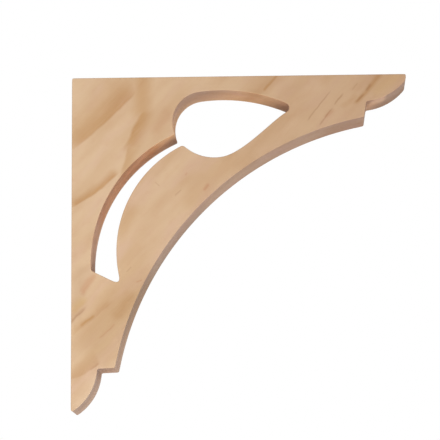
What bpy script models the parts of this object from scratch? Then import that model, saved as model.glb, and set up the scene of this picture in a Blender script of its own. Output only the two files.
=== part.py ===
"""Fretwork corner bracket, sawn from one thick board of clear pine.

Metres, +Z up. The beam edge is the top face, the post edge is the left face in the plane
x = 0, and the front faces -Y. The origin is the centre of the post edge.

Outlines are set out in the plane of the board from the square corner where the two straight
edges meet: x runs along the beam edge, and y is 0 there and negative below it. Turns are in
degrees, counter-clockwise from +x, as seen from the front.
"""

import math

import bpy
from mathutils import Vector, geometry

# The board, and the two straight edges of equal length.
SIDE = 0.290
BOARD_THICKNESS = 0.045

# The end of the arm under the beam: a short square end, a convex round, then a step that leans.
UPPER_END_FLAT = 0.0050
UPPER_ROUND_RADIUS = 0.050
UPPER_STEP_SETBACK = 0.0345
UPPER_STEP_DEPTH = 0.0236
UPPER_STEP_RISE = 0.0138
UPPER_STEP_LEAN = 0.0020

# The end of the arm down the post, which the hand-guided saw left a little sharper and squarer.
LOWER_END_FLAT = 0.0019
LOWER_ROUND_RADIUS = 0.0465
LOWER_STEP_SETBACK = 0.0363
LOWER_STEP_DEPTH = 0.0228
LOWER_STEP_RISE = 0.0150
LOWER_STEP_LEAN = 0.0005

# Wood left between the opening and the two straight edges.
BEAM_RAIL = 0.0124
POST_RAIL = 0.0169

# Sizes of the opening that the saw and the file set.
NECK_WIDTH = 0.0117
TIP_RADIUS = 0.0042
FOOT_WIDTH = 0.0262
FOOT_SLANT = 0.0130
FOOT_EASE = 0.0090
SPUR_EASE = 0.0028

# The scroll is a free form: its curves keep their proportions, as shares of the side.
INNER_SWEEP_SHARE = 0.930
CREST_SHARE = 0.445
CREST_RADIUS_SHARE = 0.486
LOBE_RADIUS_SHARE = 0.0912
BELLY_RADIUS_SHARE = 0.134
TAIL_PULL_SHARE = 0.0652
TIP_PULL_SHARE = 0.0522
FOOT_DEPTH_SHARE = 0.582
SLOT_OUTER_SHARE = 0.422
SLOT_INNER_SHARE = 0.354

# Turns at which one curve of the scroll hands over to the next.
LOBE_TURN = 97.6
NECK_TURN = 216.6
BELLY_TURN = 279.5
TIP_TURN = 66.1
TIP_END_TURN = 300.1

# How far a chord may stray from its arc, and the longest turn that one chord takes.
CHORD_SAG = 0.00004
CHORD_TURN = 15.0

# Points along the teardrop's tail and round an eased corner, and how tightly such a corner turns.
TAIL_POINTS = 24
EASE_POINTS = 6
CORNER_PULL = 2.0 / 3.0

# Points of the flat faces nearer than this are one point.
WELD_DISTANCE = 0.00001

PINE_COLOUR = (0.63, 0.41, 0.24, 1.0)
PINE_ROUGHNESS = 0.55

COLLECTION_NAME = "fretwork_corner_bracket"
BRACKET_NAME = "bracket"


def clear_scene():
    """Removes every object that the file holds at the start."""
    for old in list(bpy.data.objects):
        bpy.data.objects.remove(old, do_unlink=True)


def heading(turn):
    """Unit vector that points along a turn."""
    return Vector((math.cos(math.radians(turn)), math.sin(math.radians(turn))))


def along_arc(centre, radius, start_turn, end_turn):
    """Points of an arc from one turn to another, both ends included."""
    sweep = end_turn - start_turn
    chord = 2.0 * math.degrees(math.acos(1.0 - CHORD_SAG / radius))
    steps = math.ceil(abs(sweep) / min(chord, CHORD_TURN))
    return [centre + radius * heading(start_turn + sweep * step / steps) for step in range(steps + 1)]


def arc_between(start, end, radius, centre_on_left):
    """Points of the shorter arc of a given radius from start to end."""
    half = (end - start) / 2.0
    across = Vector((-half.y, half.x)).normalized()
    reach = math.sqrt(radius ** 2 - half.length_squared)
    centre = start + half + across * (reach if centre_on_left else -reach)
    start_turn = math.degrees(math.atan2(start.y - centre.y, start.x - centre.x))
    sweep = 2.0 * math.degrees(math.asin(half.length / radius))
    end_turn = start_turn + (sweep if centre_on_left else -sweep)
    return along_arc(centre, radius, start_turn, end_turn)


def eased_join(run_in, run_out, ease):
    """Joins two runs that share a corner, and rounds the corner off within a distance."""
    corner = run_out[0]
    before = [point for point in run_in if (point - corner).length > ease]
    after = [point for point in run_out if (point - corner).length > ease]
    first = corner + (before[-1] - corner).normalized() * ease
    last = corner + (after[0] - corner).normalized() * ease
    pull_in, pull_out = first.lerp(corner, CORNER_PULL), last.lerp(corner, CORNER_PULL)
    return before + geometry.interpolate_bezier(first, pull_in, pull_out, last, EASE_POINTS) + after


def mirrored(point):
    """The same point on the other arm, across the bracket's diagonal."""
    return Vector((-point.y, -point.x))


def arm_end(flat, radius, setback, depth, rise, lean):
    """An arm's end, set out on the upper arm, from the beam edge to the start of the inner sweep."""
    square_top = Vector((SIDE, 0.0))
    square_foot = Vector((SIDE, -flat))
    step_in = Vector((SIDE - setback, -depth))
    step_out = step_in + Vector((-lean, -rise))
    end_round = arc_between(square_foot, step_in, radius, centre_on_left=False)
    return [square_top] + end_round + [step_out]


def blank_outline():
    """The outside of the board: two straight edges, two arm ends and the inner sweep."""
    upper = arm_end(
        UPPER_END_FLAT,
        UPPER_ROUND_RADIUS,
        UPPER_STEP_SETBACK,
        UPPER_STEP_DEPTH,
        UPPER_STEP_RISE,
        UPPER_STEP_LEAN,
    )
    lower = arm_end(
        LOWER_END_FLAT,
        LOWER_ROUND_RADIUS,
        LOWER_STEP_SETBACK,
        LOWER_STEP_DEPTH,
        LOWER_STEP_RISE,
        LOWER_STEP_LEAN,
    )
    lower = [mirrored(point) for point in reversed(lower)]
    sweep = arc_between(upper[-1], lower[0], SIDE * INNER_SWEEP_SHARE, centre_on_left=True)
    return [Vector((0.0, 0.0))] + upper + sweep[1:-1] + lower


def scroll_outline():
    """The opening: a teardrop that runs through an open neck into a crescent slot."""
    crest_radius = SIDE * CREST_RADIUS_SHARE
    lobe_radius = SIDE * LOBE_RADIUS_SHARE
    belly_radius = SIDE * BELLY_RADIUS_SHARE

    # Each circle touches the one before it from inside, at the turn where it takes over.
    crest_centre = Vector((SIDE * CREST_SHARE, -BEAM_RAIL - crest_radius))
    lobe_centre = crest_centre + (crest_radius - lobe_radius) * heading(LOBE_TURN)
    belly_centre = lobe_centre + (lobe_radius - belly_radius) * heading(NECK_TURN)
    tip_centre = crest_centre + (crest_radius - TIP_RADIUS) * heading(TIP_TURN)

    neck_top_turn = NECK_TURN - math.degrees(NECK_WIDTH / 2.0 / lobe_radius)
    neck_foot_turn = NECK_TURN + math.degrees(NECK_WIDTH / 2.0 / belly_radius)

    belly = along_arc(belly_centre, belly_radius, neck_foot_turn, BELLY_TURN)
    tip = along_arc(tip_centre, TIP_RADIUS, TIP_END_TURN - 360.0, TIP_TURN)
    crest = along_arc(crest_centre, crest_radius, TIP_TURN, LOBE_TURN)
    lobe = along_arc(lobe_centre, lobe_radius, LOBE_TURN, neck_top_turn)
    tail = geometry.interpolate_bezier(
        belly[-1],
        belly[-1] + SIDE * TAIL_PULL_SHARE * heading(BELLY_TURN + 90.0),
        tip[0] - SIDE * TIP_PULL_SHARE * heading(TIP_END_TURN + 90.0),
        tip[0],
        TAIL_POINTS,
    )

    foot_outer = Vector((POST_RAIL, -SIDE * FOOT_DEPTH_SHARE))
    foot_inner = foot_outer + Vector((FOOT_WIDTH, -FOOT_SLANT))
    slot_outer = arc_between(lobe[-1], foot_outer, SIDE * SLOT_OUTER_SHARE, centre_on_left=True)
    slot_inner = arc_between(foot_inner, belly[0], SIDE * SLOT_INNER_SHARE, centre_on_left=False)

    teardrop = belly + tail[1:-1] + tip + crest[1:] + lobe[1:]
    crescent = eased_join(slot_outer[1:] + [foot_inner], slot_inner, FOOT_EASE)
    return eased_join(crescent, teardrop, SPUR_EASE)


def pine_material():
    """Clear pine, planed and left bare."""
    material = bpy.data.materials.new("pine")
    material.use_nodes = True
    shader = material.node_tree.nodes["Principled BSDF"]
    shader.inputs["Base Color"].default_value = PINE_COLOUR
    shader.inputs["Roughness"].default_value = PINE_ROUGHNESS
    shader.inputs["Metallic"].default_value = 0.0
    return material


def add_closed_spline(curve, points):
    """Adds one closed outline of straight chords to a flat curve."""
    spline = curve.splines.new("POLY")
    spline.points.add(len(points) - 1)
    for knot, point in zip(spline.points, points):
        knot.co = (point.x, point.y, 0.0, 1.0)
    spline.use_cyclic_u = True


def build_bracket(collection):
    """The sawn board: its outside, the opening through it and its thickness."""
    curve = bpy.data.curves.new(BRACKET_NAME, "CURVE")
    curve.dimensions = "2D"
    curve.fill_mode = "BOTH"
    curve.extrude = BOARD_THICKNESS / 2.0
    add_closed_spline(curve, blank_outline())
    add_closed_spline(curve, scroll_outline())
    curve.materials.append(pine_material())

    bracket = bpy.data.objects.new(BRACKET_NAME, curve)
    bracket.location = (0.0, 0.0, SIDE / 2.0)
    bracket.rotation_euler = (math.radians(90.0), 0.0, 0.0)
    weld = bracket.modifiers.new("weld_caps", "WELD")
    weld.merge_threshold = WELD_DISTANCE
    collection.objects.link(bracket)


def main():
    """Builds the bracket in a collection of its own."""
    clear_scene()
    collection = bpy.data.collections.new(COLLECTION_NAME)
    bpy.context.scene.collection.children.link(collection)
    build_bracket(collection)


main()
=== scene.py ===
"""Looks of the fretwork corner bracket: a board of clear pine, sawn to a scroll and eased by hand.

The board's own measure is used for the figure of the wood: u runs right along the beam edge and v
runs down the post edge, both in millimetres from the square corner, and w runs in from the front
face. Everything else is in metres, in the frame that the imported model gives.
"""

import logging
import math
from collections.abc import Callable
from dataclasses import dataclass
from enum import Enum

import bmesh
import bpy
from mathutils import Euler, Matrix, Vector


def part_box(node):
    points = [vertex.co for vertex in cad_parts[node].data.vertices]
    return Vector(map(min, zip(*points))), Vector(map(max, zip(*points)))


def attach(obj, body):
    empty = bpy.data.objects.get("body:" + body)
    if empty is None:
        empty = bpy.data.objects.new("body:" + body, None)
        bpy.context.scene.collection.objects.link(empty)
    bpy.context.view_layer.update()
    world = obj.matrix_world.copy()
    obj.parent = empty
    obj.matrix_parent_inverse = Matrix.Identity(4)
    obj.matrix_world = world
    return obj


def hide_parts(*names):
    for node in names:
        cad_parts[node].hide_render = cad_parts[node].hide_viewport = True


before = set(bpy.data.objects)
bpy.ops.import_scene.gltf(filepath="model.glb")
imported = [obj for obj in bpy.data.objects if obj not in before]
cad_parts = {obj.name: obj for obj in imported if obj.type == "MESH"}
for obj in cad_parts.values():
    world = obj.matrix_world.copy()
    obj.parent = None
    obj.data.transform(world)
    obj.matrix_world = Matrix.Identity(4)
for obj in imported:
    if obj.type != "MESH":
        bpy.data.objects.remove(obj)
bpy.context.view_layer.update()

LOG = logging.getLogger("corner_bracket")

NODE = "bracket"
BODY = "root"

MM = 0.001
PER_METRE = 1000.0

Value = float | tuple[float, ...] | bpy.types.NodeSocket


class Element(Enum):
    """What an edit-mode selection picks."""

    FACE = "faces"
    EDGE = "edges"


class Tone(Enum):
    """Colours that the figure of the wood, and the painted shade and light on the cuts, multiply into the
    board.
    """

    LATEWOOD = (0.80, 0.66, 0.46, 1.0)
    RESIN = (0.66, 0.53, 0.42, 1.0)
    RED = (0.86, 0.66, 0.56, 1.0)
    YELLOW = (0.97, 0.92, 0.70, 1.0)
    PALE = (1.08, 1.12, 1.20, 1.0)
    AMBER = (0.77, 0.71, 0.66, 1.0)
    # Painted shade, reddish brown, for the recesses of the cuts.
    SCORCH = (0.90, 0.74, 0.60, 1.0)
    # Painted light, which brightens walls that get little light.
    FUZZ = (1.70, 1.72, 1.62, 1.0)
    # Painted shade, grey.
    DULL = (0.78, 0.80, 0.84, 1.0)


@dataclass(frozen=True)
class GrainLine:
    """One line or band in the figure of the board, or of the painted shade and light on its cuts.

    Attributes:
        tone: Colour that it multiplies in.
        start: Its lower left end on the front face, as (u, v).
        end: Its upper right end.
        upper: How far its colour fades out on the upper left side.
        lower: How far it fades out on the lower right side.
        strength: Share of the tone that it takes at its darkest.
        bow: How far its middle lies from the straight line, towards the lower right.
        fade: Length over which each end dies away.
    """

    tone: Tone
    start: tuple[float, float]
    end: tuple[float, float]
    upper: float
    lower: float
    strength: float
    bow: float = 0.0
    fade: float = 4.0


class Recipe:
    """Writes nodes into one tree, so that a finish reads as a recipe."""

    def __init__(self, tree: bpy.types.NodeTree) -> None:
        """Takes the tree to write in."""
        self.tree = tree

    def add(self, kind: str, settings: dict | None = None, inputs: dict | None = None) -> bpy.types.Node:
        """Adds one node.

        Args:
            kind: Name of the node's type.
            settings: Properties to set on the node.
            inputs: Values or sockets for its inputs, by name or number.

        Returns:
            The new node.
        """
        node = self.tree.nodes.new(kind)
        for name, value in (settings or {}).items():
            setattr(node, name, value)
        for name, value in (inputs or {}).items():
            self.feed(node.inputs[name], value)
        return node

    def feed(self, socket: bpy.types.NodeSocket, value: Value) -> None:
        """Links a socket into an input, or sets the input's own value."""
        if isinstance(value, bpy.types.NodeSocket):
            self.tree.links.new(value, socket)
        else:
            socket.default_value = value

    def math(self, operation: str, *terms: Value, clamp: bool = False) -> bpy.types.NodeSocket:
        """One step of arithmetic on numbers."""
        settings = {"operation": operation, "use_clamp": clamp}
        return self.add("ShaderNodeMath", settings, dict(enumerate(terms))).outputs[0]

    def vector(self, operation: str, *terms: Value) -> bpy.types.NodeSocket:
        """One step of arithmetic on vectors, with a vector as its result."""
        node = self.add("ShaderNodeVectorMath", {"operation": operation}, dict(enumerate(terms)))
        return node.outputs["Vector"]

    def dot(self, first: Value, second: Value) -> bpy.types.NodeSocket:
        """The dot product of two vectors."""
        node = self.add("ShaderNodeVectorMath", {"operation": "DOT_PRODUCT"}, {0: first, 1: second})
        return node.outputs["Value"]

    def ramp(self, value: Value, low: Value, high: Value,
             start: float = 0.0, end: float = 1.0) -> bpy.types.NodeSocket:
        """A smooth step from start to end as a value goes from low to high.

        Args:
            value: What drives the step.
            low: Value at which it begins.
            high: Value at which it is over.
            start: Result before it.
            end: Result after it.

        Returns:
            The result's socket.
        """
        inputs = {"Value": value, "From Min": low, "From Max": high, "To Min": start, "To Max": end}
        node = self.add("ShaderNodeMapRange", {"interpolation_type": "SMOOTHSTEP"}, inputs)
        return node.outputs["Result"]

    def noise(self, place: Value, pitch: tuple[float, ...], detail: float,
              rough: float = 0.5) -> bpy.types.NodeSocket:
        """Cloudy values about one half.

        Args:
            place: Where each point of the wood lies, in millimetres.
            pitch: Clouds per millimetre in each direction.
            detail: Layers of finer clouds on the coarse ones.
            rough: Strength of each finer layer.

        Returns:
            The values' socket.
        """
        scaled = self.vector("MULTIPLY", place, pitch)
        inputs = {"Vector": scaled, "Scale": 1.0, "Detail": detail, "Roughness": rough}
        return self.add("ShaderNodeTexNoise", {"noise_dimensions": "3D"}, inputs).outputs["Fac"]

    def blend(self, mode: str, factor: Value, first: Value, second: Value) -> bpy.types.NodeSocket:
        """Mixes two colours.

        Args:
            mode: The blend mode's name.
            factor: Share of the second colour.
            first: Colour below.
            second: Colour on top.

        Returns:
            The mixed colour's socket.
        """
        node = self.add("ShaderNodeMix", {"data_type": "RGBA", "blend_type": mode})
        sockets = {socket.identifier: socket for socket in node.inputs}
        self.feed(sockets["Factor_Float"], factor)
        self.feed(sockets["A_Color"], first)
        self.feed(sockets["B_Color"], second)
        return next(socket for socket in node.outputs if socket.identifier == "Result_Color")


@dataclass(frozen=True)
class PineFigure:
    """The lines and bands of this board, as they show on its front face, and the painted shade and light on
    its cuts.

    Attributes:
        lines: Figure of the wood, on the faces and the cuts alike.
        cuts: Painted shade and painted light on the cuts alone.
    """

    lines: tuple[GrainLine, ...] = (
        # Broad latewood that crosses the square corner, and its return beyond the pale tongue.
        GrainLine(Tone.LATEWOOD, (-6.0, 68.0), (62.0, 6.0), 30.0, 2.2, 0.90, bow=2.0, fade=22.0),
        GrainLine(Tone.LATEWOOD, (6.0, 52.0), (40.0, 27.0), 9.0, 5.0, 0.30, fade=12.0),
        GrainLine(Tone.LATEWOOD, (42.0, 92.0), (52.0, 52.0), 2.4, 13.0, 0.75, fade=12.0),
        GrainLine(Tone.LATEWOOD, (43.5, 68.0), (65.0, 20.0), 3.0, 15.0, 1.00, bow=1.0, fade=14.0),
        GrainLine(Tone.LATEWOOD, (60.0, 44.0), (62.0, -14.0), 12.0, 14.0, 0.75, fade=16.0),
        GrainLine(Tone.LATEWOOD, (-2.0, 114.0), (42.0, 82.0), 8.5, 1.6, 1.00, bow=3.3, fade=8.0),
        GrainLine(Tone.PALE, (4.0, 76.0), (54.0, 20.0), 14.0, 14.0, 0.12, fade=14.0),
        GrainLine(Tone.RED, (70.0, 52.0), (88.0, 26.0), 8.0, 8.0, 0.30, fade=8.0),
        # Beside and below the slot's foot.
        GrainLine(Tone.RED, (8.0, 191.0), (22.0, 170.0), 5.0, 4.0, 0.70, fade=6.0),
        GrainLine(Tone.YELLOW, (0.0, 210.0), (14.0, 190.0), 9.0, 4.0, 0.90, fade=8.0),
        GrainLine(Tone.RESIN, (-2.0, 218.0), (14.0, 199.0), 2.4, 1.2, 0.60, fade=6.0),
        GrainLine(Tone.LATEWOOD, (6.0, 220.0), (22.0, 205.0), 4.0, 2.0, 1.00, fade=6.0),
        GrainLine(Tone.LATEWOOD, (-2.0, 227.0), (38.0, 194.0), 8.0, 1.6, 0.45, fade=10.0),
        GrainLine(Tone.LATEWOOD, (34.0, 214.0), (56.0, 186.0), 9.0, 9.0, 0.45, fade=9.0),
        GrainLine(Tone.LATEWOOD, (-4.0, 263.0), (27.0, 248.0), 18.0, 1.4, 0.50, bow=1.5, fade=5.0),
        GrainLine(Tone.RESIN, (17.0, 256.0), (25.0, 248.5), 2.0, 1.2, 0.35, fade=2.5),
        GrainLine(Tone.PALE, (-4.0, 285.0), (34.0, 254.0), 16.0, 20.0, 0.75, fade=8.0),
        GrainLine(Tone.RED, (24.0, 227.0), (38.0, 215.0), 1.1, 1.1, 0.55, fade=3.0),
        # The middle of the board.
        GrainLine(Tone.RED, (113.5, 100.5), (119.5, 93.5), 2.8, 2.4, 0.75, fade=2.5),
        GrainLine(Tone.RESIN, (89.0, 105.5), (95.5, 99.5), 1.0, 0.9, 0.45, fade=2.0),
        GrainLine(Tone.RESIN, (73.0, 92.0), (77.5, 96.5), 0.8, 0.8, 0.40, fade=1.5),
        GrainLine(Tone.RED, (98.0, 87.0), (101.0, 84.0), 1.3, 1.3, 0.50, fade=1.5),
        GrainLine(Tone.RESIN, (47.0, 171.0), (52.5, 165.5), 0.9, 0.9, 0.45, fade=2.0),
        GrainLine(Tone.RED, (55.0, 179.0), (61.5, 176.5), 1.1, 1.1, 0.60, fade=2.0),
        GrainLine(Tone.LATEWOOD, (38.0, 148.0), (58.0, 108.0), 10.0, 9.0, 0.50, fade=16.0),
        GrainLine(Tone.LATEWOOD, (92.0, 118.0), (150.0, 62.0), 12.0, 16.0, 0.35, fade=16.0),
        GrainLine(Tone.PALE, (60.0, 130.0), (102.0, 94.0), 13.0, 13.0, 0.35, fade=12.0),
        GrainLine(Tone.PALE, (156.0, 76.0), (200.0, 34.0), 10.0, 16.0, 0.75, fade=14.0),
        GrainLine(Tone.AMBER, (2.0, 252.0), (84.0, 164.0), 30.0, 36.0, 0.55, fade=28.0),
        GrainLine(Tone.AMBER, (0.0, 218.0), (12.0, 160.0), 13.0, 12.0, 0.45, fade=10.0),
        GrainLine(Tone.YELLOW, (2.0, 252.0), (84.0, 164.0), 40.0, 34.0, 0.40, fade=28.0),
        # The arm under the beam.
        GrainLine(Tone.LATEWOOD, (154.0, 22.0), (184.0, -2.0), 9.0, 8.0, 0.35, fade=8.0),
        GrainLine(Tone.LATEWOOD, (164.5, 15.5), (180.5, -1.0), 3.2, 2.4, 1.00, fade=5.0),
        GrainLine(Tone.PALE, (184.0, 38.0), (218.0, 2.0), 10.0, 10.0, 0.85, fade=10.0),
        GrainLine(Tone.RESIN, (246.0, 24.5), (253.5, 16.0), 2.0, 1.4, 0.55, fade=3.0),
        GrainLine(Tone.RESIN, (254.0, 14.5), (261.0, 7.5), 2.0, 1.5, 0.50, fade=3.0),
        GrainLine(Tone.LATEWOOD, (244.0, 27.0), (270.0, -1.0), 4.0, 3.2, 0.80, fade=6.0),
        GrainLine(Tone.RESIN, (204.0, 41.0), (225.5, 13.0), 1.1, 0.9, 0.60, fade=6.0),
        GrainLine(Tone.RESIN, (214.0, 45.0), (228.0, 28.0), 1.3, 1.1, 0.60, fade=5.0),
        GrainLine(Tone.RESIN, (228.0, 27.5), (236.5, 15.5), 1.5, 1.2, 0.65, fade=4.0),
        GrainLine(Tone.RED, (219.0, 38.0), (229.5, 30.5), 2.8, 2.4, 0.50, fade=4.0),
        GrainLine(Tone.RESIN, (242.5, 14.5), (249.5, 6.5), 1.0, 1.0, 0.35, fade=3.0),
        GrainLine(Tone.LATEWOOD, (234.0, 31.0), (249.0, 16.0), 4.0, 4.0, 0.35, fade=5.0),
        GrainLine(Tone.YELLOW, (258.0, 18.0), (290.0, -4.0), 10.0, 10.0, 0.45, fade=9.0),
    )
    cuts: tuple[GrainLine, ...] = (
        # Painted shade, reddish brown, in the slot's upper half and at the foot of each step, and a painted
        # pool of light beside the step on the upper arm.
        GrainLine(Tone.SCORCH, (24.0, 136.0), (84.0, 58.0), 16.0, 20.0, 0.85, bow=-11.0, fade=16.0),
        GrainLine(Tone.SCORCH, (250.0, 30.0), (264.0, 20.0), 8.0, 8.0, 0.45, fade=7.0),
        GrainLine(Tone.FUZZ, (260.0, 27.0), (276.0, 18.0), 7.0, 7.0, 0.75, fade=5.0),
        GrainLine(Tone.SCORCH, (20.0, 262.0), (40.0, 252.0), 7.0, 7.0, 0.25, fade=6.0),
        # Painted light, pale and a little yellow, along the inner walls, which the enclosing openings leave
        # short of light.
        GrainLine(Tone.FUZZ, (6.0, 208.0), (94.0, 48.0), 12.0, 24.0, 1.00, bow=-20.5, fade=16.0),
        GrainLine(Tone.FUZZ, (72.0, 64.0), (214.0, 26.0), 18.0, 12.0, 1.00, bow=-24.0, fade=14.0),
        GrainLine(Tone.YELLOW, (64.0, 70.0), (220.0, 26.0), 18.0, 12.0, 0.75, bow=-24.0, fade=14.0),
        GrainLine(Tone.FUZZ, (160.0, 20.0), (214.0, 40.0), 9.0, 9.0, 0.30, fade=10.0),
        # Painted shade: the lower arm's cuts and the upper arm's round are a little greyer.
        GrainLine(Tone.DULL, (4.0, 296.0), (132.0, 112.0), 16.0, 16.0, 0.80, bow=-14.0, fade=14.0),
        GrainLine(Tone.DULL, (268.0, 34.0), (306.0, 4.0), 10.0, 10.0, 0.70, fade=8.0),
    )


@dataclass(frozen=True)
class PineFinish:
    """Planed and sawn clear pine, bare, as one block of wood that every cut shows alike.

    Attributes:
        grain_turn: Turn of the grain above the beam edge, in degrees.
        board_height: Height of the board, in millimetres.
        half_thickness: Half its thickness.
        figure: Lines and bands of this board.
        pale: Lightest ground colour.
        tan: Darker ground colour.
        pink: Warmer ground colour.
        wall: Tint of the sawn walls.
        end_grain: Further tint where a wall cuts the fibres squarely.
        wall_facing: How squarely a wall and a face look to the front, as cosines.
        end_facing: How squarely the end grain's tint begins and is full, as cosines.
        rightward_browning: Where the board begins to brown towards the right and where that is full, as u.
        fibre_pitch: Fine fibres per millimetre along the grain, across it and inward.
        streak_pitch: Streaks, in the same three directions, as every pitch but the saw's is.
        drift_pitch: Broad drifts between pale and tan.
        blush_pitch: Broad drifts of pink.
        mottle_pitch: Reddish clouds.
        canal_pitch: Resin canals.
        patch_pitch: Patches where the canals are many.
        saw_pitch: Marks of the saw per millimetre of u, v and w.
        warp_scale: Waves per millimetre in the growth of the wood.
        warp_reach: Height of those waves in u, v and w.
        lean: How far the figure moves in u, v and w for each millimetre inward.
        blush: Share of pink at its strongest.
        streaks: Share of latewood in the streaks.
        mottle: Share of red in the clouds.
        canals: Share of resin colour outside the patches and in them.
        marks: Share of red in the marks of the saw.
        fibre_shade: Brightness that the fibres add, and what they add it to.
        breaks: How much of a line shows on the darkest fibres and on the lightest.
        face_roughness: Roughness of the planed faces.
        wall_roughness: Roughness of the sawn walls.
        fibre_roughness: Spread of the roughness with the fibres.
        specular_level: Strength of the gloss.
        bump_strength: Strength of the fibres' and the saw's relief.
        bump_height: Height of that relief, in metres.
    """

    grain_turn: float = 46.0
    board_height: float = 290.0
    half_thickness: float = 22.5
    figure: PineFigure = PineFigure()

    pale: tuple[float, ...] = (0.564, 0.393, 0.245, 1.0)
    tan: tuple[float, ...] = (0.510, 0.334, 0.193, 1.0)
    pink: tuple[float, ...] = (0.546, 0.362, 0.245, 1.0)
    wall: tuple[float, ...] = (0.95, 0.93, 1.05, 1.0)
    end_grain: tuple[float, ...] = (0.94, 0.90, 0.90, 1.0)
    wall_facing: tuple[float, float] = (0.45, 0.92)
    end_facing: tuple[float, float] = (0.25, 0.95)
    rightward_browning: tuple[float, float] = (-20.0, 300.0)

    fibre_pitch: tuple[float, ...] = (0.045, 1.7, 1.7)
    streak_pitch: tuple[float, ...] = (0.012, 0.22, 0.16)
    drift_pitch: tuple[float, ...] = (0.010, 0.035, 0.030)
    blush_pitch: tuple[float, ...] = (0.018, 0.060, 0.050)
    mottle_pitch: tuple[float, ...] = (0.07, 0.13, 0.13)
    canal_pitch: tuple[float, ...] = (0.16, 2.6, 2.6)
    patch_pitch: tuple[float, ...] = (0.02, 0.08, 0.08)
    saw_pitch: tuple[float, ...] = (0.9, 0.9, 0.03)
    warp_scale: float = 0.045
    warp_reach: tuple[float, ...] = (6.0, 6.0, 0.0)
    lean: tuple[float, ...] = (0.22, 0.10, 0.0)

    blush: float = 0.75
    streaks: float = 0.09
    mottle: float = 0.13
    canals: tuple[float, float] = (0.04, 0.24)
    marks: float = 0.22
    fibre_shade: tuple[float, float] = (0.035, 0.955)
    breaks: tuple[float, float] = (0.70, 1.0)

    face_roughness: float = 0.52
    wall_roughness: float = 0.74
    fibre_roughness: float = 0.16
    specular_level: float = 0.32
    bump_strength: float = 0.35
    bump_height: float = 0.15 * MM

    def material(self) -> bpy.types.Material:
        """Makes the wood's material."""
        material = bpy.data.materials.new("bare_pine")
        material.use_nodes = True
        recipe = Recipe(material.node_tree)
        shader = material.node_tree.nodes["Principled BSDF"]

        place = self._board_place(recipe)
        grain = self._grain_place(recipe, place)
        fibre = recipe.noise(grain, self.fibre_pitch, 3.0, 0.6)
        streak = recipe.noise(grain, self.streak_pitch, 4.0, 0.55)
        walls, ends = self._cut_masks(recipe)
        saw = recipe.noise(place, self.saw_pitch, 2.0, 0.6)
        broken = recipe.ramp(fibre, 0.25, 0.65, *self.breaks)
        lines = self._line_group()

        colour = self._ground_colour(recipe, place, grain, fibre, streak)
        colour = self._with_lines(recipe, lines, self.figure.lines, place, broken, colour)
        colour = self._with_canals(recipe, colour, grain)
        colour = self._with_cuts(recipe, colour, walls, ends, saw)
        # Painted shade and painted light, laid on the sawn walls only.
        colour = self._with_lines(recipe, lines, self.figure.cuts, place, walls, colour)
        recipe.feed(shader.inputs["Base Color"], colour)

        rough = recipe.ramp(walls, 0.0, 1.0, self.face_roughness, self.wall_roughness)
        spread = recipe.math("MULTIPLY_ADD", fibre, self.fibre_roughness, -self.fibre_roughness / 2.0)
        rough = recipe.math("ADD", rough, spread)
        recipe.feed(shader.inputs["Roughness"], rough)
        shader.inputs["Specular IOR Level"].default_value = self.specular_level

        height = recipe.math("ADD", recipe.math("MULTIPLY", fibre, 0.5), recipe.math("MULTIPLY", saw, walls))
        relief = {"Strength": self.bump_strength, "Distance": self.bump_height, "Height": height}
        bump = recipe.add("ShaderNodeBump", inputs=relief)
        recipe.feed(shader.inputs["Normal"], bump.outputs["Normal"])
        return material

    def _board_place(self, recipe: Recipe) -> bpy.types.NodeSocket:
        """The board's own measure (u, v, w) in millimetres, gently warped as grown wood is."""
        source = recipe.add("ShaderNodeTexCoord").outputs["Object"]
        parts = recipe.add("ShaderNodeSeparateXYZ", inputs={0: source})
        across = recipe.math("MULTIPLY", parts.outputs["X"], PER_METRE)
        down = recipe.math("MULTIPLY_ADD", parts.outputs["Z"], -PER_METRE, self.board_height / 2.0)
        inward = recipe.math("MULTIPLY_ADD", parts.outputs["Y"], PER_METRE, self.half_thickness)
        place = recipe.add("ShaderNodeCombineXYZ", inputs={0: across, 1: down, 2: inward}).outputs[0]
        swell = {"Vector": place, "Scale": self.warp_scale, "Detail": 2.0}
        cloud = recipe.add("ShaderNodeTexNoise", inputs=swell)
        waves = recipe.vector("SUBTRACT", cloud.outputs["Color"], (0.5, 0.5, 0.5))
        shift = recipe.vector("MULTIPLY", waves, self.warp_reach)
        depth = recipe.add("ShaderNodeCombineXYZ", inputs={0: inward, 1: inward}).outputs[0]
        lean = recipe.vector("MULTIPLY", depth, self.lean)
        return recipe.vector("ADD", recipe.vector("ADD", place, shift), lean)

    def _grain_place(self, recipe: Recipe, place: bpy.types.NodeSocket) -> bpy.types.NodeSocket:
        """The same place measured along the grain, across it and inward."""
        turn = math.radians(self.grain_turn)
        along = recipe.dot(place, (math.cos(turn), -math.sin(turn), 0.0))
        across = recipe.dot(place, (math.sin(turn), math.cos(turn), 0.0))
        inward = recipe.dot(place, (0.0, 0.0, 1.0))
        return recipe.add("ShaderNodeCombineXYZ", inputs={0: along, 1: across, 2: inward}).outputs[0]

    def _cut_masks(self, recipe: Recipe) -> tuple[bpy.types.NodeSocket, bpy.types.NodeSocket]:
        """Where the surface is a cut wall, and how squarely that wall cuts the fibres."""
        normal = recipe.add("ShaderNodeTexCoord").outputs["Normal"]
        facing = recipe.math("ABSOLUTE", recipe.dot(normal, (0.0, 1.0, 0.0)))
        walls = recipe.ramp(facing, *self.wall_facing, 1.0, 0.0)
        turn = math.radians(self.grain_turn)
        square = recipe.math("ABSOLUTE", recipe.dot(normal, (math.cos(turn), 0.0, math.sin(turn))))
        return walls, recipe.math("MULTIPLY", walls, recipe.ramp(square, *self.end_facing))

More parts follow.
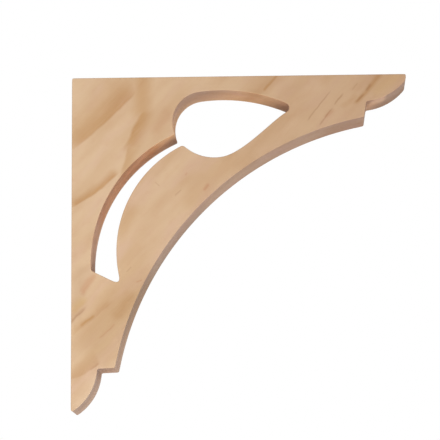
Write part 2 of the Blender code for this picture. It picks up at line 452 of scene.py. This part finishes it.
    def _ground_colour(self, recipe: Recipe, place: bpy.types.NodeSocket, grain: bpy.types.NodeSocket,
                       fibre: bpy.types.NodeSocket, streak: bpy.types.NodeSocket) -> bpy.types.NodeSocket:
        """Clear wood: drifts of pale, tan and pink, browner towards the right, streaks and fine fibres."""
        drift = recipe.noise(grain, self.drift_pitch, 2.0)
        blush = recipe.noise(grain, self.blush_pitch, 2.0)
        colour = recipe.blend("MIX", recipe.ramp(drift, 0.36, 0.64), self.pale, self.tan)
        colour = recipe.blend("MIX", recipe.ramp(blush, 0.45, 0.75, 0.0, self.blush), colour, self.pink)
        rightward_share = recipe.ramp(recipe.dot(place, (1.0, 0.0, 0.0)), *self.rightward_browning)
        colour = recipe.blend("MULTIPLY", rightward_share, colour, Tone.AMBER.value)
        streaks = recipe.ramp(streak, 0.42, 0.76, 0.0, self.streaks)
        colour = recipe.blend("MULTIPLY", streaks, colour, Tone.LATEWOOD.value)
        mottle = recipe.ramp(recipe.noise(grain, self.mottle_pitch, 3.0, 0.6), 0.45, 0.75, 0.0, self.mottle)
        colour = recipe.blend("MULTIPLY", mottle, colour, Tone.RED.value)
        shade = recipe.math("MULTIPLY_ADD", fibre, *self.fibre_shade)
        grey = recipe.add("ShaderNodeCombineXYZ", inputs={0: shade, 1: shade, 2: shade}).outputs[0]
        return recipe.vector("MULTIPLY", colour, grey)

    def _with_lines(self, recipe: Recipe, group: bpy.types.NodeTree, lines: tuple[GrainLine, ...],
                    place: bpy.types.NodeSocket, share: Value,
                    colour: bpy.types.NodeSocket) -> bpy.types.NodeSocket:
        """Multiplies lines and bands into a colour, one tone after another.

        Args:
            recipe: Where the nodes go.
            group: The shared group that measures a line.
            lines: The lines and bands.
            place: The board's own measure.
            share: How much of them each place takes.
            colour: The colour so far.

        Returns:
            The new colour's socket.
        """
        for tone in Tone:
            total = None
            for line in (line for line in lines if line.tone is tone):
                mask = self._line_mask(recipe, group, line, place)
                total = mask if total is None else recipe.math("MAXIMUM", total, mask)
            if total is not None:
                colour = recipe.blend("MULTIPLY", recipe.math("MULTIPLY", total, share), colour, tone.value)
        return colour

    def _line_mask(self, recipe: Recipe, group: bpy.types.NodeTree, line: GrainLine,
                   place: bpy.types.NodeSocket) -> bpy.types.NodeSocket:
        """How much of a line's tone each place takes.

        Args:
            recipe: Where the nodes go.
            group: The shared group that measures a line.
            line: The line.
            place: The board's own measure.

        Returns:
            The mask's socket.
        """
        start, end = Vector((*line.start, 0.0)), Vector((*line.end, 0.0))
        run = end - start
        along = run.normalized()
        across = Vector((-along.y, along.x, 0.0))
        inputs = {
            "Place": place,
            "Start": tuple(start),
            "Along": tuple(along),
            "Across": tuple(across),
            "Length": run.length,
            "Bow": line.bow,
            "Upper": line.upper,
            "Lower": line.lower,
            "Fade": line.fade,
            "Strength": line.strength,
        }
        node = recipe.add("ShaderNodeGroup", {"node_tree": group}, inputs)
        return node.outputs["Mask"]

    def _line_group(self) -> bpy.types.NodeTree:
        """The node group that turns a place into a line's mask."""
        tree = bpy.data.node_groups.new("grain_line", "ShaderNodeTree")
        for name in ("Place", "Start", "Along", "Across"):
            tree.interface.new_socket(name, in_out="INPUT", socket_type="NodeSocketVector")
        for name in ("Length", "Bow", "Upper", "Lower", "Fade", "Strength"):
            tree.interface.new_socket(name, in_out="INPUT", socket_type="NodeSocketFloat")
        tree.interface.new_socket("Mask", in_out="OUTPUT", socket_type="NodeSocketFloat")
        recipe = Recipe(tree)
        given = recipe.add("NodeGroupInput").outputs
        offset = recipe.vector("SUBTRACT", given["Place"], given["Start"])
        run = recipe.dot(offset, given["Along"])
        side = recipe.dot(offset, given["Across"])
        share = recipe.math("DIVIDE", run, given["Length"], clamp=True)
        rest = recipe.math("SUBTRACT", 1.0, share)
        arch = recipe.math("MULTIPLY", recipe.math("MULTIPLY", share, rest), 4.0)
        side = recipe.math("SUBTRACT", side, recipe.math("MULTIPLY", arch, given["Bow"]))
        rise = recipe.ramp(side, recipe.math("MULTIPLY", given["Upper"], -1.0), 0.0)
        fall = recipe.math("SUBTRACT", 1.0, recipe.ramp(side, 0.0, given["Lower"]))
        opens = recipe.ramp(run, 0.0, given["Fade"])
        last = recipe.math("SUBTRACT", given["Length"], given["Fade"])
        closes = recipe.math("SUBTRACT", 1.0, recipe.ramp(run, last, given["Length"]))
        across, along = recipe.math("MULTIPLY", rise, fall), recipe.math("MULTIPLY", opens, closes)
        mask = recipe.math("MULTIPLY", across, along)
        mask = recipe.math("MULTIPLY", mask, given["Strength"])
        recipe.add("NodeGroupOutput", inputs={"Mask": mask})
        return tree

    def _with_canals(self, recipe: Recipe, colour: bpy.types.NodeSocket,
                     grain: bpy.types.NodeSocket) -> bpy.types.NodeSocket:
        """Adds the fine brown dashes of resin canals that the plane has opened."""
        fine = recipe.noise(grain, self.canal_pitch, 1.0)
        patch = recipe.noise(grain, self.patch_pitch, 1.0)
        patches = recipe.ramp(patch, 0.45, 0.60, *self.canals)
        mask = recipe.math("MULTIPLY", recipe.ramp(fine, 0.68, 0.80), patches)
        return recipe.blend("MULTIPLY", mask, colour, Tone.RESIN.value)

    def _with_cuts(self, recipe: Recipe, colour: bpy.types.NodeSocket, walls: bpy.types.NodeSocket,
                   ends: bpy.types.NodeSocket, saw: bpy.types.NodeSocket) -> bpy.types.NodeSocket:
        """Greys the sawn walls, darkens their end grain and shows the marks that the blade left."""
        colour = recipe.blend("MULTIPLY", walls, colour, self.wall)
        colour = recipe.blend("MULTIPLY", ends, colour, self.end_grain)
        marks = recipe.math("MULTIPLY", walls, recipe.ramp(saw, 0.40, 0.70, 0.0, self.marks))
        return recipe.blend("MULTIPLY", marks, colour, Tone.RED.value)


@dataclass
class SawnBracket:
    """The board sawn to its outline and scroll, with eased arrises and the saw's own marks.

    Attributes:
        name: Name of the piece.
        arris: Radius that sandpaper left on the edges of the faces.
        arris_steps: Facets round that radius.
        flat_margin: Narrow flat strip inside it, which keeps the faces' shading even.
        corner_turn: Turn, in degrees, from which two walls meet in a corner.
        corner_ease: How far back from such a corner its easing starts.
        corner_steps: Facets round the corner before it is made smooth.
        coarse_chord: Longest stretch of outline before it is made smooth.
        fine_chord: Longest stretch afterwards.
        smoothing: Levels of subdivision that make the outline smooth.
        ripple: Depth of the marks across the walls.
        wander: Depth of the hand-guided saw's slow wander.
        ripple_grain: Size of those marks.
        wander_grain: Length of that wander.
        smooth_angle: Turn, in degrees, up to which faces are shaded as one.
        weld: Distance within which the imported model's points are joined.
        straight_turn: Turn, in degrees, up to which triangles side by side are one flat wall.
        middle_band: How near to the board's middle a row lies that is kept.
        planed_margin: How near to the two planed edges no saw marks are pressed.
        finish: The wood.
    """

    name: str = "sawn_bracket"
    arris: float = 0.6 * MM
    arris_steps: int = 3
    flat_margin: float = 0.12 * MM
    corner_turn: float = 50.0
    corner_ease: float = 1.3 * MM
    corner_steps: int = 3
    coarse_chord: float = 9.5 * MM
    fine_chord: float = 0.6 * MM
    smoothing: int = 3
    ripple: float = 0.07 * MM
    wander: float = 0.18 * MM
    ripple_grain: float = 1.6 * MM
    wander_grain: float = 22.0 * MM
    smooth_angle: float = 42.0
    weld: float = 0.01 * MM
    straight_turn: float = 0.2
    middle_band: float = 0.1 * MM
    planed_margin: float = 0.02 * MM
    finish: PineFinish = PineFinish()

    def build(self) -> bpy.types.Object:
        """Makes the piece in its place.

        Returns:
            The finished object.
        """
        low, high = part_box(NODE)
        piece = bpy.data.objects.new(self.name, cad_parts[NODE].data.copy())
        bpy.context.scene.collection.objects.link(piece)
        work_on(piece)
        bpy.ops.object.mode_set(mode="EDIT")
        self._open_walls(piece)
        self._divide_rails(piece, self.coarse_chord)
        self._ease_corners(piece)
        bpy.ops.object.mode_set(mode="OBJECT")
        self._smooth_walls(piece)
        bpy.ops.object.mode_set(mode="EDIT")
        self._thin_rows(piece)
        self._divide_rails(piece, self.fine_chord)
        self._round_arrises(piece, high.y)
        self._close_faces(piece)
        bpy.ops.object.mode_set(mode="OBJECT")
        self._mark_walls(piece, low, high)
        bpy.ops.object.shade_smooth_by_angle(angle=math.radians(self.smooth_angle))
        return piece

    def dress(self, piece: bpy.types.Object) -> None:
        """Gives the piece its wood."""
        piece.data.materials.clear()
        piece.data.materials.append(self.finish.material())

    def _open_walls(self, piece: bpy.types.Object) -> None:
        """Joins the copied triangles and takes the two flat faces off, so that only the walls stay."""
        bpy.ops.mesh.select_all(action="SELECT")
        bpy.ops.mesh.remove_doubles(threshold=self.weld)
        pick(piece, Element.FACE, lambda face: abs(face.normal.y) > 0.5)
        bpy.ops.mesh.delete(type="FACE")
        bpy.ops.mesh.select_all(action="SELECT")
        bpy.ops.mesh.dissolve_limited(angle_limit=math.radians(self.straight_turn))

    def _divide_rails(self, piece: bpy.types.Object, longest: float) -> None:
        """Halves every long stretch of the outline until none is longer than the longest."""
        while pick(piece, Element.EDGE, lambda edge: is_rail(edge) and edge.calc_length() > longest):
            bpy.ops.mesh.subdivide(number_cuts=1)

    def _ease_corners(self, piece: bpy.types.Object) -> None:
        """Bevels the edges through the board where two walls meet in a corner."""
        least = math.radians(self.corner_turn)
        found = pick(piece, Element.EDGE,
                     lambda edge: not is_rail(edge) and edge.calc_face_angle(0.0) > least)
        LOG.info("%s has %d corners", self.name, found)
        bpy.ops.mesh.bevel(offset=self.corner_ease, segments=self.corner_steps, affect="EDGES")

    def _smooth_walls(self, piece: bpy.types.Object) -> None:
        """Turns the chords of the outline into smooth curves."""
        smooth = piece.modifiers.new("smooth_walls", "SUBSURF")
        smooth.levels = smooth.render_levels = self.smoothing
        bpy.ops.object.modifier_apply(modifier=smooth.name)

    def _thin_rows(self, piece: bpy.types.Object) -> None:
        """Takes out the rows that the smoothing made across the thickness, but for the middle one."""
        pick(piece, Element.EDGE, lambda edge: is_rail(edge) and not edge.is_boundary
             and abs(edge.verts[0].co.y) > self.middle_band)
        bpy.ops.mesh.dissolve_edges(use_verts=True)

    def _round_arrises(self, piece: bpy.types.Object, half: float) -> None:
        """Draws the walls' edges in, step by step, round a quarter circle to each face.

        Args:
            piece: The walls, in edit mode.
            half: Half the board's thickness.
        """
        turns = [math.radians(90.0) * step / self.arris_steps for step in range(self.arris_steps + 1)]
        steps = [(self.arris * (math.cos(a) - math.cos(b)), self.arris * (math.sin(b) - math.sin(a)))
                 for a, b in zip(turns, turns[1:])]
        reach = half - self.arris
        bpy.ops.mesh.select_all(action="SELECT")
        stretch_thickness(reach / half)
        pick(piece, Element.EDGE, is_open)
        for inward, outward in steps + [(self.flat_margin, 0.0)]:
            bpy.ops.mesh.extrude_edges_move()
            stretch_thickness((reach + self.arris) / reach)
            pick(piece, Element.EDGE, is_open)
            bpy.ops.transform.shrink_fatten(value=-inward, use_even_offset=True)
            stretch_thickness((reach + outward) / (reach + self.arris))
            reach += outward

    def _close_faces(self, piece: bpy.types.Object) -> None:
        """Fills the front and the back."""
        for side in (-1.0, 1.0):
            pick(piece, Element.EDGE, lambda edge: is_open(edge) and edge.verts[0].co.y * side > 0.0)
            bpy.ops.mesh.fill(use_beauty=True)
            bpy.ops.mesh.beautify_fill(angle_limit=math.radians(180.0))
        bpy.ops.mesh.select_all(action="SELECT")
        bpy.ops.mesh.normals_make_consistent(inside=False)

    def _mark_walls(self, piece: bpy.types.Object, low: Vector, high: Vector) -> None:
        """Presses the saw's ripple and wander into the curved walls, and leaves the planed edges flat."""
        rail = high.y - self.arris / 2.0
        left, top = low.x + self.planed_margin, high.z - self.planed_margin
        # Only the group's name is kept, because the group itself is made anew as each mark is pressed.
        sawn = "sawn"
        chosen = [v.index for v in piece.data.vertices
                  if abs(v.co.y) < rail and v.co.x > left and v.co.z < top]
        piece.vertex_groups.new(name=sawn).add(chosen, 1.0, "REPLACE")
        marks = (("ripple", self.ripple, self.ripple_grain), ("wander", self.wander, self.wander_grain))
        for name, depth, grain_size in marks:
            texture = bpy.data.textures.new(name, "CLOUDS")
            texture.noise_scale = 1.0
            ruler = bpy.data.objects.new(name, None)
            ruler.scale = (grain_size, 1.0, grain_size)
            bpy.context.scene.collection.objects.link(ruler)
            bpy.context.view_layer.update()
            press = piece.modifiers.new(name, "DISPLACE")
            press.texture = texture
            press.texture_coords = "OBJECT"
            press.texture_coords_object = ruler
            press.vertex_group = sawn
            press.mid_level = 1.0
            press.strength = depth
            bpy.ops.object.modifier_apply(modifier=press.name)
            bpy.data.objects.remove(ruler)
            bpy.data.textures.remove(texture)


@dataclass
class Studio:
    """A plain pale floor and soft light, with white all round.

    Attributes:
        floor_drop: Depth of the floor below the part's origin.
        floor_size: Length of its sides.
        floor_colour: Its colour.
        floor_roughness: Its roughness.
        zenith: Strength of the surround straight overhead, against 1 at the sides and below.
        dimming: Heights above level, as sines, where it starts to fall and where it is lowest.
        key_power: Power of the soft light in front, in watts.
        key_size: Length of its sides.
        key_place: Where it stands.
        key_target: What it points at.
    """

    floor_drop: float = 1.50
    floor_size: float = 30.0
    floor_colour: tuple[float, ...] = (0.86, 0.86, 0.86, 1.0)
    floor_roughness: float = 0.9
    zenith: float = 0.50
    dimming: tuple[float, float] = (0.25, 0.95)
    key_power: float = 36.0
    key_size: float = 1.2
    key_place: tuple[float, float, float] = (0.25, -1.9, -1.1)
    key_target: tuple[float, float, float] = (0.12, 0.0, 0.0)

    def build(self) -> None:
        """Sets up the floor, the world and the key light."""
        self._floor()
        self._world()
        self._key()
        view = bpy.context.scene.view_settings
        view.view_transform = "Standard"
        view.look = "None"
        view.exposure = 0.0
        view.gamma = 1.0

    def _floor(self) -> None:
        """Lays the floor well below the bracket, which hangs."""
        deselect()
        bpy.ops.mesh.primitive_plane_add(size=self.floor_size, location=(0.0, 0.0, -self.floor_drop))
        floor = bpy.context.object
        floor.name = "studio_floor"
        material = bpy.data.materials.new("studio_floor")
        material.use_nodes = True
        shader = material.node_tree.nodes["Principled BSDF"]
        shader.inputs["Base Color"].default_value = self.floor_colour
        shader.inputs["Roughness"].default_value = self.floor_roughness
        floor.data.materials.append(material)

    def _world(self) -> None:
        """Surrounds the bracket with white light that is dimmer from overhead."""
        world = bpy.data.worlds.new("white_surround")
        world.use_nodes = True
        recipe = Recipe(world.node_tree)
        background = world.node_tree.nodes["Background"]
        background.inputs["Color"].default_value = (1.0, 1.0, 1.0, 1.0)
        direction = recipe.add("ShaderNodeTexCoord").outputs["Generated"]
        height = recipe.dot(direction, (0.0, 0.0, 1.0))
        recipe.feed(background.inputs["Strength"], recipe.ramp(height, *self.dimming, 1.0, self.zenith))
        bpy.context.scene.world = world

    def _key(self) -> None:
        """Sets one large soft light in front and low, a little to the right."""
        light = bpy.data.lights.new("soft_key", "AREA")
        light.energy = self.key_power
        light.size = self.key_size
        lamp = bpy.data.objects.new("soft_key", light)
        bpy.context.scene.collection.objects.link(lamp)
        lamp.location = self.key_place
        gaze = Vector(self.key_target) - lamp.location
        lamp.rotation_euler = gaze.to_track_quat("-Z", "Y").to_euler()


@dataclass
class PhotoCamera:
    """The camera at the photograph's own angle: in front, a little right and below.

    Attributes:
        aim: What the middle of the picture shows.
        azimuth: Turn of the camera to the right of the front, in degrees.
        elevation: Its height above level, in degrees.
        distance: How far it stands from the aim.
        roll: Its turn about its own line of sight, in degrees.
        lens: Focal length, in millimetres.
        sensor: Width of the sensor, in millimetres.
    """

    aim: tuple[float, float, float] = (0.12834, -0.0225, 0.01883)
    azimuth: float = 2.334
    elevation: float = -8.497
    distance: float = 2.2023
    roll: float = -0.275
    lens: float = 209.27
    sensor: float = 36.0

    def build(self) -> bpy.types.Object:
        """Makes the camera and gives it to the scene.

        Returns:
            The camera's object.
        """
        data = bpy.data.cameras.new("photo_camera")
        data.sensor_width = self.sensor
        data.lens = self.lens
        camera = bpy.data.objects.new("photo_camera", data)
        bpy.context.scene.collection.objects.link(camera)
        turn, rise = math.radians(self.azimuth), math.radians(self.elevation)
        back = Vector((math.sin(turn) * math.cos(rise), -math.cos(turn) * math.cos(rise), math.sin(rise)))
        camera.location = Vector(self.aim) + back * self.distance
        level = (-back).to_track_quat("-Z", "Y")
        camera.rotation_mode = "QUATERNION"
        camera.rotation_quaternion = level @ Euler((0.0, 0.0, math.radians(self.roll))).to_quaternion()
        bpy.context.scene.camera = camera
        return camera


def deselect() -> None:
    """Deselects every object."""
    bpy.ops.object.select_all(action="DESELECT")


def work_on(piece: bpy.types.Object) -> None:
    """Makes one object the only selected and the active one."""
    deselect()
    piece.select_set(True)
    bpy.context.view_layer.objects.active = piece


def is_rail(edge: bmesh.types.BMEdge) -> bool:
    """Whether an edge follows the outline, and doesn't cross the thickness."""
    return abs(edge.verts[0].co.y - edge.verts[1].co.y) < MM


def stretch_thickness(factor: float) -> None:
    """Scales what is selected in edit mode through the thickness, about the board's middle."""
    bpy.ops.transform.resize(value=(1.0, factor, 1.0), center_override=(0.0, 0.0, 0.0))


def is_open(edge: bmesh.types.BMEdge) -> bool:
    """Whether an edge is on the rim of an open surface."""
    return edge.is_boundary


def pick(piece: bpy.types.Object, element: Element, wanted: Callable[[object], bool]) -> int:
    """Selects only the wanted faces or edges of a piece in edit mode.

    Args:
        piece: The object in edit mode.
        element: Whether faces or edges are picked.
        wanted: Says of each one whether it is picked.

    Returns:
        How many were picked.
    """
    bpy.ops.mesh.select_mode(type=element.name)
    bpy.ops.mesh.select_all(action="DESELECT")
    shape = bmesh.from_edit_mesh(piece.data)
    shape.normal_update()
    chosen = [item for item in getattr(shape, element.value) if wanted(item)]
    for item in chosen:
        item.select_set(True)
    shape.select_flush_mode()
    bmesh.update_edit_mesh(piece.data)
    return len(chosen)


def main() -> None:
    """Builds the studio, the camera and the bracket in order."""
    logging.basicConfig(level=logging.INFO, format="%(name)s: %(message)s")
    Studio().build()
    PhotoCamera().build()
    bracket = SawnBracket()
    piece = bracket.build()
    bracket.dress(piece)
    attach(piece, BODY)
    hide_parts(NODE)
    LOG.info("%s has %d faces", piece.name, len(piece.data.polygons))


if __name__ == "__main__":
    main()
